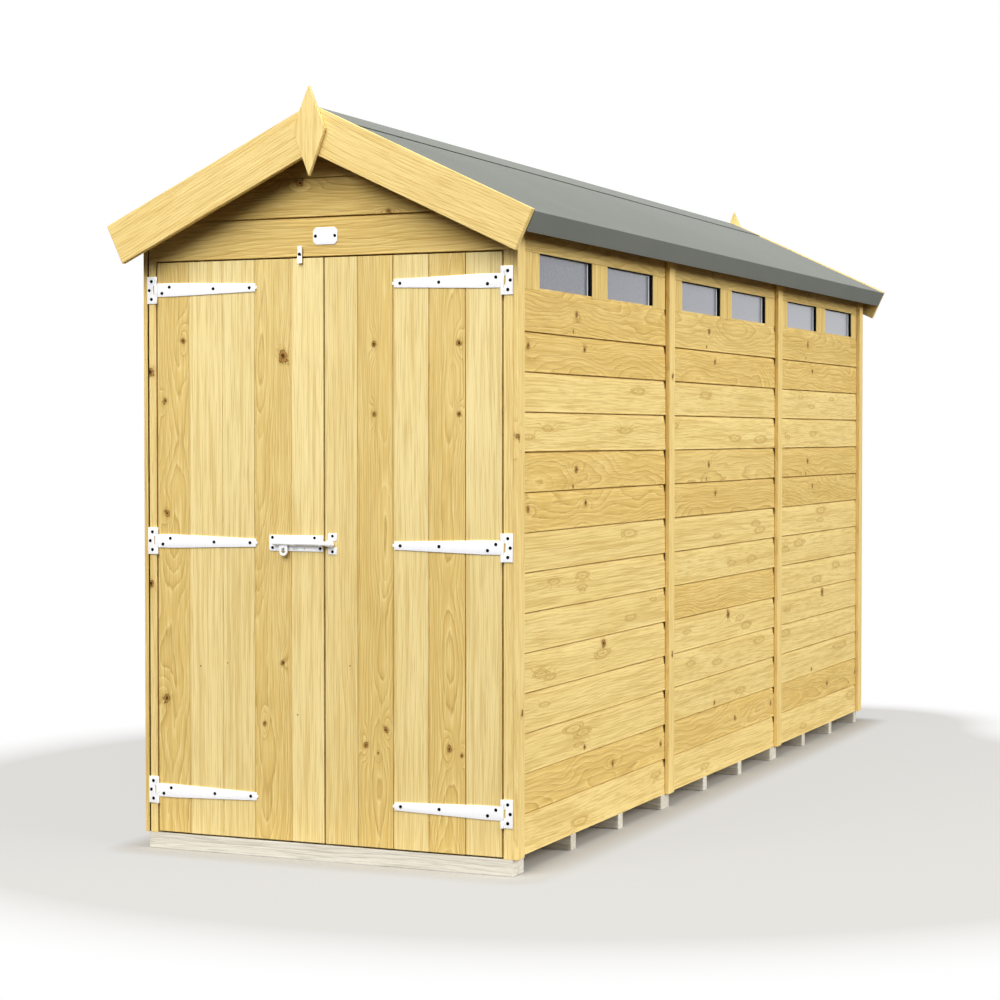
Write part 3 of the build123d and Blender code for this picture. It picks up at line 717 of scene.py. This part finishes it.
def side_cladding(side_name, side):
    """Lap boards of one side's three panels. The left side takes the right one's tones in another order."""
    spans = strip_spans(side_name)
    for panel, tones in SIDE_TONES.items():
        node = f"{side_name}_cladding_{panel}"
        low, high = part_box(node)
        piece = Piece(f"{side_name}_lap_boards_{panel}")
        first = high.y - PANEL_L if panel != "rear" else low.y
        for i in range(SIDE_BOARDS):
            last = i == SIDE_BOARDS - 1
            bottom = clad_low + i * lap_pitch + (LAP_RAISE if i else 0.0)
            shown = (clad_high if last else clad_low + (i + 1) * lap_pitch + LAP_RAISE) - bottom
            run = (low.y, high.y)
            bm = lap_board(side * half_w, -side, bottom, shown, along_wall, run, piece.random, last, spans)
            tone = TONES[tones[i] if side > 0 else tones[(i * 5 + 3) % SIDE_BOARDS]]
            knots = [
                ((side * half_w, first + y, z), radius)
                for y, z, radius in PANEL_KNOTS
                if side > 0 and bottom <= z < bottom + lap_pitch
            ]
            if tone < HONEY_FROM:
                knots = knots + pale_eyes(piece.random, side * half_w, low.y, high.y, bottom)
            piece.add(bm, AXES["Y"], tone, knots if side > 0 or tone < HONEY_FROM else None, off=HEART_OFF)
        piece.finish(LAP, "shed", "lap_board", node)


def pale_eyes(rng, x, y_low, y_high, bottom):
    """Pale oval figures that a board shows."""
    eyes = []
    for _ in range(rng.choice((1, 2, 3))):
        place = (x, rng.uniform(y_low + 0.05, y_high - 0.05), bottom + rng.uniform(0.025, 0.085))
        eyes.append((place, -rng.uniform(0.006, 0.012)))
    return eyes


def gable_cladding(name, node, face, inward, knots=()):
    """Lap boards of a gable, cut to the roof slopes."""
    low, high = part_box(node)
    piece = Piece(name)
    count = int((high.z - low.z) / lap_pitch) + 1
    for i in range(count):
        start = low.z + i * lap_pitch
        run = (low.x + (STILE_GAP if inward > 0 else 0), high.x)
        bm = lap_board(face, inward, start, lap_pitch, across_gable, run, piece.random)
        for side in (-1, 1):
            trim(bm, Vector((0, 0, high.z)), Vector((side * sin(ROOF_PITCH), 0, cos(ROOF_PITCH))))
        if len(bm.faces) > 3:
            found = inside(bm, knots) if inward > 0 else None
            piece.add(bm, AXES["X"], piece.random.uniform(0.3, 0.9), found, off=HEART_OFF)
    piece.finish(LAP, "shed", "lap_board", node)


side_names = {"left": -1, "right": 1}
for side_name, side in side_names.items():
    side_cladding(side_name, side)
front_face, gable_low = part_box("front_gable_cladding")[0].yz
rear_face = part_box("rear_cladding")[1].y
GABLE_KNOTS = [((-0.074, front_face, 1.863), 0.009), ((0.198, front_face, 1.776), 0.005)]
gable_cladding("front_gable_boards", "front_gable_cladding", front_face, 1, GABLE_KNOTS)
gable_cladding("rear_gable_boards", "rear_cladding", rear_face, -1)


# Framing and trim
def box_way(bm):
    """Longest direction of a solid's box."""
    co = np.array([v.co for v in bm.verts])
    return AXES["XYZ"[int(np.argmax(np.ptp(co, axis=0)))]]


def upright_or_rail(bm):
    """Window uprights have upright grain, the rails over them run along the wall."""
    along = [v.co.y for v in bm.verts]
    return AXES["Y"] if max(along) - min(along) > PANEL_L / 3 else AXES["Z"]


def stiles():
    """Door stiles. The left one stands a little clear of its corner strip, and the gap shows dark."""
    piece = Piece("stiles")
    knots = [((-0.5535, front_face, 1.351), 0.011), ((-0.5535, front_face, 0.753), 0.009)]
    for bm in solids("front_stiles"):
        for vert in bm.verts:
            if vert.co.x < -half_w + STILE_GAP:
                vert.co.x += STILE_GAP
        piece.add(ease(bm, 0.001), AXES["Z"], 0.2, inside(bm, knots))
    piece.finish(TRIM, "shed", "trim_wood", "front_stiles")


STRIP_TONES = {"left": 0.9, "right": 0.3}
STRIP_KNOTS = [
    ((half_w + 0.01, -0.566, 1.356), 0.007),
    ((half_w + 0.01, -0.566, 0.481), 0.006),
    ((half_w + 0.01, -1.812, 1.168), 0.007),
    ((half_w + 0.01, -1.790, 0.430), 0.006),
]


def strips(side_name):
    """Cover strips. The left front one is darkened where it faces the gap beside the stile: painted shade in
    the joint.
    """
    piece = Piece(f"{side_name}_strips")
    for bm in solids(f"{side_name}_cover_strips"):
        ease(bm, 0.002)
        lit = bm.verts.layers.float.new("lit")
        for vert in bm.verts:
            # Painted shade: the left front strip's faces beside the stile's gap are darkened
            if -half_w - 0.0004 < vert.co.x < 0 and vert.co.y < front_face + 0.03:
                vert[lit] = -0.9
        piece.add(bm, AXES["Z"], STRIP_TONES[side_name], inside(bm, STRIP_KNOTS))
    piece.finish(TRIM, "shed", "trim_wood", f"{side_name}_cover_strips")


timber("bearers", "floor_bearers", BEARER, "bearer_wood", along=AXES["X"], bevel=0.002, plain=True)
for side_name in side_names:
    timber(f"{side_name}_studs_and_rails", f"{side_name}_wall_frame", FRAMING, "framing", along=box_way)
    surround = f"{side_name}_window_frames"
    way = upright_or_rail
    timber(f"{side_name}_window_surrounds", surround, LAP, "trim_wood", along=way, tone=0.55, plain=True)
    strips(side_name)
    barge = f"{side_name}_barge_boards"
    timber(f"{side_name}_barges", barge, TRIM, "trim_wood", tone=0.35, bevel=0.0018, plain=True)
stiles()
timber("front_framing", "front_wall_frame", FRAMING, "framing")
timber("rear_framing", "rear_wall_frame", FRAMING, "framing")
timber("trusses", "roof_trusses", FRAMING, "framing")
timber("rails_under_roof", "roof_rails", FRAMING, "framing", along=AXES["Y"])
for end in ("front", "rear"):
    timber(f"{end}_diamond", f"{end}_finial", TRIM, "trim_wood", along=AXES["Z"], tone=0.1, plain=True)


# Floor and roof boards
low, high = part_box("floor_boards")
cuts = evenly(low.x, high.x, FLOOR_BOARDS)
planks("floor_planks", "floor_boards", FLOOR, "floor_board", "shed", AXES["X"], cuts)
for side_name, side in side_names.items():
    node = f"{side_name}_roof_board"
    down = Vector((side * cos(ROOF_PITCH), 0, -sin(ROOF_PITCH)))
    reach = [v.co.dot(down) for v in frame["nodes"][node].data.vertices]
    cuts = evenly(min(reach), max(reach), ROOF_PLANKS)
    planks(f"{side_name}_roof_planks", node, ROOF, "roof_board", "shed", down, cuts)


# Doors, board by board from the left. A tone below 0 leaves hardly any honey, and joints are x.
DOOR_TONES = {"left": (0.74, -0.1, -0.06, 0.58, -0.1), "right": (0.14, 0.7, -0.04, 0.74, -0.04)}
DOOR_JOINTS = {"left": (-0.427, -0.320, -0.218, -0.102), "right": (0.102, 0.209, 0.315, 0.423)}
DOOR_GAPS = {"left": (0.0008, 0.0005, 0.0008, 0.0006), "right": (0.0012, 0.0018, 0.0014, 0.0014)}
DOOR_RICH = 0.45
# Knots of the door boards as (across, height, radius)
DOOR_KNOTS = (
    (-0.446, 1.437, 0.007),
    (-0.505, 1.269, 0.006),
    (-0.127, 1.391, 0.012),
    (0.152, 1.419, 0.006),
    (0.152, 1.230, 0.005),
    (0.405, 1.418, 0.006),
    (0.405, 1.229, 0.005),
    (-0.500, 0.953, 0.007),
    (-0.503, 0.429, 0.010),
    (-0.130, 0.543, 0.006),
    (-0.187, 0.373, 0.005),
    (0.187, 0.373, 0.006),
    (0.126, 0.329, 0.006),
    (0.375, 0.331, 0.006),
    (0.412, 0.315, 0.004),
    (0.163, 0.309, 0.003),
    (-0.392, 0.524, 0.0017),
    (-0.305, 0.536, 0.0017),
    (-0.084, 0.401, 0.0017),
    (0.078, 0.543, 0.0017),
)
for side_name in side_names:
    node = f"{side_name}_door_boards"
    low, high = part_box(node)
    planks(
        f"{side_name}_door_planks",
        node,
        DOOR,
        "door_board",
        f"{side_name}_door",
        AXES["X"],
        (low.x, *DOOR_JOINTS[side_name], high.x),
        along="Z",
        gaps=DOOR_GAPS[side_name],
        tones=DOOR_TONES[side_name],
        knots=[((x, low.y + HAIR, z), radius) for x, z, radius in DOOR_KNOTS],
        rich=DOOR_RICH,
    )
    ledges = f"{side_name}_door_ledges"
    timber(f"{side_name}_ledges_and_braces", ledges, FRAMING, "framing", f"{side_name}_door")


# Roof covering. The ridge strip's edges lift off the felt.
CAP_LIFT = 0.0014
CAP_EDGE = 0.006
for side_name in side_names:
    piece = Piece(f"{side_name}_felt_sheet")
    for bm in solids(f"{side_name}_roof_felt"):
        piece.add(ease(bm, 0.0006, 1), AXES["Y"], plain=True)
    piece.finish(FELT, "shed", "felt", f"{side_name}_roof_felt", smooth=40)
piece = Piece("ridge_cap")
for bm in solids("ridge_felt"):
    far = max(abs(v.co.x) for v in bm.verts)
    for vert in bm.verts:
        if abs(vert.co.x) > far - CAP_EDGE:
            vert.co.z += CAP_LIFT
    piece.add(ease(bm, 0.0004, 1), AXES["Y"], plain=True)
piece.finish(FELT, "shed", "felt", "ridge_felt")


# Glazing. Widths are those of the front jamb, the rear jamb and the head.
# The seals' black, widest at the rear jamb, is painted shade in the window reveals
SEAL_AND_SHADE_WIDTHS = (0.002, 0.008, 0.0026)
# The beads, widest at the rear jamb and the head, are a painted highlight on the panes' edges
HIGHLIGHT_BEAD_WIDTHS = (0.002, 0.006, 0.003)
HIGHLIGHT_BEAD_T = 0.0005
PANE_REBATE = 0.014     # what the frame hides of a pane
PANE_FOOT = 0.0005


def bars(piece, start, end, y_a, y_b, z_a, z_b, widths):
    """Two uprights and a head between them, from one depth to another."""
    front, rear, top = widths
    for ya, yb, za, zb in (
        (y_a, y_a + front, z_a, z_b),
        (y_b - rear, y_b, z_a, z_b),
        (y_a + front, y_b - rear, z_b - top, z_b),
    ):
        outline = [(ya, za), (yb, za), (yb, zb), (ya, zb)]
        piece.add(ease(prism(outline, across_gable, (start, end)), 0.0002, 1), plain=True)


def glazing(side_name, side):
    """One side's panes, with a dark seal and a pale bead round each: the seal is also painted shade in the
    reveal, the bead a painted highlight on the pane's edge.
    """
    panes = Piece(f"{side_name}_panes")
    seals_and_shade = Piece(f"{side_name}_glazing_seals")
    highlight_beads = Piece(f"{side_name}_glazing_beads")
    node = f"{side_name}_window_panes"
    face = side * (half_w - SEAL_BACK)
    for bm in solids(node):
        co = np.array([v.co for v in bm.verts])
        low, high = co.min(0), co.max(0)
        panes.add(ease(bm, 0.0005, 1), AXES["Y"], plain=True)
        glass = high[0] if side > 0 else low[0]
        y_a, y_b = low[1] + PANE_REBATE, high[1] - PANE_REBATE
        z_a, z_b = low[2] + PANE_FOOT, high[2] - PANE_REBATE
        # Seal bars, also painted shade in the reveal, and bead bars, a painted highlight on the pane's edge
        bars(seals_and_shade, glass, face, y_a, y_b, z_a, z_b, SEAL_AND_SHADE_WIDTHS)
        front, rear, top = SEAL_AND_SHADE_WIDTHS
        bars(highlight_beads, glass, glass + side * HIGHLIGHT_BEAD_T, y_a + front, y_b - rear, z_a, z_b - top, HIGHLIGHT_BEAD_WIDTHS)
    panes.finish(PANE, "shed", "glazing", node)
    seals_and_shade.finish(SEAL_AND_SHADE, "shed", "screw_steel")
    highlight_beads.finish(HIGHLIGHT_BEAD, "shed", "glazing")


for side_name, side in side_names.items():
    glazing(side_name, side)


# Ironwork
def metal(name, node, body, bevel=0.0004, material=ZINC, slot="zinc"):
    """The solids of a CAD node as pressed metal."""
    piece = Piece(name)
    for bm in solids(node):
        piece.add(ease(bm, bevel, 2, 30), AXES["Z"], plain=True)
    piece.finish(material, body, slot, node, smooth=35)


HOLE_CLEAR = 0.0035


def surface_y(node, x, z):
    """Depth at which a node's front is met, beside the screw's hole if it has one."""
    data = frame["nodes"][node].data
    tree = BVHTree.FromPolygons([v.co for v in data.vertices], [tuple(p.vertices) for p in data.polygons])
    for beside in (0.0, HOLE_CLEAR, -HOLE_CLEAR):
        hit = tree.ray_cast(Vector((x + beside, -5, z)), Vector((0, 1, 0)))[0]
        if hit:
            return hit.y
    raise ValueError(f"{node} has no front at {x}, {z}")


def screw_head(x, y, z, radius, turn):
    """Domed head with a cross recess, facing the front."""
    count = 24
    rings = [(radius, 0.0), (radius, 0.0005), (radius * 0.86, 0.0012), (radius * 0.62, 0.0016)]
    bm = bmesh.new()
    made = []
    for size, rise in rings:
        angles = [2 * pi * i / count for i in range(count)]
        made.append([bm.verts.new((x + size * cos(a), y - rise, z + size * sin(a))) for a in angles])
    for depth in (0.0016, 0.0004):
        cross = []
        for i in range(count):
            part = i % 6
            size = radius * (0.52 if part in (0, 1, 5) else 0.2)
            angle = 2 * pi * i / count + turn
            if part in (1, 5):
                angle += radians(6) * (-1 if part == 1 else 1)
            cross.append(bm.verts.new((x + size * cos(angle), y - depth, z + size * sin(angle))))
        made.append(cross)
    for low, high in zip(made, made[1:]):
        for i in range(count):
            j = (i + 1) % count
            bm.faces.new((low[i], low[j], high[j], high[i]))
    bm.faces.new(made[-1])
    bm.faces.new(made[0][::-1])
    bmesh.ops.recalc_face_normals(bm, faces=bm.faces)
    return bm


def screws(name, body, places, radius, shift=0.0):
    """Black screw heads at (node under it, x, z)."""
    piece = Piece(name)
    for node, x, z in places:
        turn = piece.random.uniform(-0.12, 0.12)
        piece.add(screw_head(x, surface_y(node, x, z) + shift, z, radius, turn), AXES["Z"], plain=True)
    piece.finish(SCREW, body, "screw_steel", smooth=30)


HINGE_X = 0.5314        # pins from the middle of the front
# Screws of a T hinge as (from its pin, above its middle)
LEAF_SCREWS = ((0.0155, 0.025), (0.0226, 0.0), (0.0155, -0.025))
STRAP_SCREWS = ((0.019, 0.009), (0.043, -0.008), (0.185, 0.0), (0.300, 0.0))
HINGE_SCREW_R = 0.0046
BOLT_SCREW_R = 0.0042
PLATE_SCREW_R = 0.0046
FOOT = 0.0075           # screws from the ends of the keep and the bare plate
# Screws of the bolt as (x, z)
BOLT_SCREWS = ((-0.1606, 0.8903), (-0.1606, 0.8620), (-0.0296, 0.8906), (-0.0111, 0.8616))
BUTTON_CRANK = 0.001


def hinge_screws():
    """Screws of all hinges, those of the straps on their own door."""
    leaf = []
    for side_name, side in side_names.items():
        node = f"{side_name}_hinge_straps"
        strap = []
        for bm in solids(node):
            level = (min(v.co.z for v in bm.verts) + max(v.co.z for v in bm.verts)) / 2
            bm.free()
            leaf += [("hinge_plates", side * (HINGE_X + x), level + side * z) for x, z in LEAF_SCREWS]
            strap += [(node, side * (HINGE_X - x), level + side * z) for x, z in STRAP_SCREWS]
        screws(f"{side_name}_strap_screws", f"{side_name}_door", strap, HINGE_SCREW_R)
    screws("leaf_screws", "shed", leaf, HINGE_SCREW_R)


def button():
    """Turn button, cranked twice: its middle lies back from its ends."""
    piece = Piece("button")
    low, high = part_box("turn_button")
    bends = [low.z + 0.0155, low.z + 0.0185, high.z - 0.0065, high.z - 0.0035]
    for bm in solids("turn_button"):
        for bend in bends:
            everything = bm.verts[:] + bm.edges[:] + bm.faces[:]
            bmesh.ops.bisect_plane(bm, geom=everything, dist=1e-6, plane_co=(0, 0, bend), plane_no=(0, 0, 1))
        for vert in bm.verts:
            if vert.co.y < low.y + 0.0005 and bends[1] - 1e-5 < vert.co.z < bends[2] + 1e-5:
                vert.co.y += BUTTON_CRANK
        piece.add(ease(bm, 0.0002, 1, 30), AXES["Z"], plain=True)
    piece.finish(ZINC, "turn_button", "zinc", "turn_button", smooth=20)


def bare_plate():
    """The plate on the gable lies flat on its board."""
    piece = Piece("bare_plate")
    for bm in solids("blank_plate"):
        for vert in bm.verts:
            vert.co.y += plate_shift(vert.co.z)
        piece.add(ease(bm, 0.0003, 2, 30), AXES["Z"], plain=True)
    piece.finish(ZINC, "shed", "zinc", "blank_plate", smooth=35)


def plate_shift(z):
    """From the slope of the solid board to the face of the visible one, at a height."""
    return (z - gable_low) * (LAP_FALL / (lap_pitch - LAP_FLAT_END) - lap_tilt / LAP_W)


def hardware():
    """Hinges, bolt, keep, turn button and bare plate, with their screws."""
    metal("hinge_leaves", "hinge_plates", "shed")
    metal("hinge_spindles", "hinge_pins", "shed", 0.0006)
    metal("left_straps", "left_hinge_straps", "left_door")
    metal("right_straps", "right_hinge_straps", "right_door")
    metal("bolt_backplate", "bolt_plate", "left_door")
    metal("bolt_shaft", "bolt_rod", "bolt")
    metal("keep", "bolt_keep", "right_door")
    button()
    metal("button_screw", "turn_button_screw", "shed", 0.0006, SCREW, "screw_steel")
    bare_plate()
    hinge_screws()
    screws("bolt_screws", "left_door", [("bolt_plate", x, z) for x, z in BOLT_SCREWS], BOLT_SCREW_R)
    low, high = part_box("bolt_keep")
    x = (low.x + high.x) / 2
    feet = [("bolt_keep", x, low.z + FOOT), ("bolt_keep", x, high.z - FOOT)]
    screws("keep_screws", "right_door", feet, BOLT_SCREW_R)
    low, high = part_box("blank_plate")
    level = (low.z + high.z) / 2
    ends = [("blank_plate", low.x + FOOT, level), ("blank_plate", high.x - FOOT, level)]
    screws("plate_screws", "shed", ends, PLATE_SCREW_R, plate_shift(level))


hardware()


# Floor, light and camera
FLOOR_REACH = 60.0
FLOOR_MIDDLE = (0.2, -0.5, 0.0)
WHITE_FROM, WHITE_TO = 1.45, 2.6    # the floor turns white this far from its middle
FLOOR_SEEN = srgb(143, 138, 126)
FLOOR_NEAR = srgb(180, 177, 170)    # close to the walls
FLOOR_BOUNCE = srgb(34, 33, 32)     # farther out, for the light that it gives back
FLOOR_GLOW = 0.6
DOME_LOW, DOME_HIGH = 0.06, 0.8
# Lamps as (azimuth, elevation, distance, size, power)
LAMPS = {"front_lamp": (-8, 40, 14.0, 11.0, 2330), "side_lamp": (84, 24, 14.0, 8.5, 1880)}
CAMERA_PLACE = (2.9193, -7.3942, 1.1697)
CAMERA_TURN = (88.4055, 0, 23.258)
CAMERA_LENS = 82.53
CAMERA_SENSOR = 36


def stage():
    """Pale floor that glows to the eye, whitest far from the shed. Beside the walls it doesn't glow."""
    r = FLOOR_REACH
    mesh = bpy.data.meshes.new("floor")
    mesh.from_pydata([(-r, -r, 0), (r, -r, 0), (r, r, 0), (-r, r, 0)], [], [(0, 1, 2, 3)])
    floor = bpy.data.objects.new("floor", mesh)
    bpy.context.scene.collection.objects.link(floor)
    net = Net("floor")
    place = net.place()
    away = net.length(net.vector("SUBTRACT", place, FLOOR_MIDDLE))
    x, y, _ = net.split(place)
    out_x = net.math("MAXIMUM", net.math("SUBTRACT", net.math("ABSOLUTE", x), half_w), 0.0)
    out_y = net.math("MAXIMUM", net.math("SUBTRACT", net.math("ABSOLUTE", y), -front_face), 0.0)
    out = net.length(net.join(out_x, out_y, 0.0))
    clear = net.span(out, 0.0, 0.7)
    beside = net.span(out, 0.0, 0.14)
    seen = net.seen()
    far = net.math("MULTIPLY", net.span(away, WHITE_FROM, WHITE_TO), clear)
    far = net.math("MAXIMUM", far, net.math("MULTIPLY", beside, FLOOR_GLOW))
    shown = net.mix(beside, FLOOR_NEAR, FLOOR_SEEN)
    given = net.mix(net.span(out, 0.0, 0.3), FLOOR_NEAR, FLOOR_BOUNCE)
    colour = net.mix(seen, given, shown)
    matt = net.node("ShaderNodeBsdfDiffuse", Color=colour)
    white = net.node("ShaderNodeEmission", Strength=1.0)
    net.blend(net.math("MULTIPLY", far, seen), matt, white)
    mesh.materials.append(net.owner)


def world():
    """White to look at. As light it is a soft dome, brighter overhead."""
    net = Net("studio", world=True)
    bpy.context.scene.world = net.owner
    up = net.split(net.node("ShaderNodeTexCoord").outputs["Generated"])[2]
    dome = net.span(up, 0.15, 0.95, DOME_LOW, DOME_HIGH)
    light = net.node("ShaderNodeBackground", Color=(1, 1, 1, 1), Strength=dome)
    white = net.node("ShaderNodeBackground", Color=(1, 1, 1, 1), Strength=1.0)
    net.blend(net.seen(), light, white)


def lamp(name, azimuth, elevation, distance, size, power):
    """Square soft lamp aimed at the shed. Azimuth 0 is in front of it, 90 on its right."""
    a, e = radians(azimuth), radians(elevation)
    target = Vector((0, 0, 1))
    place = target + distance * Vector((sin(a) * cos(e), -cos(a) * cos(e), sin(e)))
    data = bpy.data.lights.new(name, "AREA")
    data.size = size
    data.energy = power
    obj = bpy.data.objects.new(name, data)
    obj.location = place
    obj.rotation_euler = (target - place).to_track_quat("-Z", "Y").to_euler()
    bpy.context.scene.collection.objects.link(obj)


def photo_camera():
    """Camera at the photo's angle."""
    data = bpy.data.cameras.new("camera")
    data.lens = CAMERA_LENS
    data.sensor_width = CAMERA_SENSOR
    viewer = bpy.data.objects.new("camera", data)
    viewer.location = CAMERA_PLACE
    viewer.rotation_euler = [radians(angle) for angle in CAMERA_TURN]
    bpy.context.scene.collection.objects.link(viewer)
    bpy.context.scene.camera = viewer
    bpy.context.scene.view_settings.view_transform = "Standard"


stage()
world()
for name, lamp_values in LAMPS.items():
    lamp(name, *lamp_values)
photo_camera()
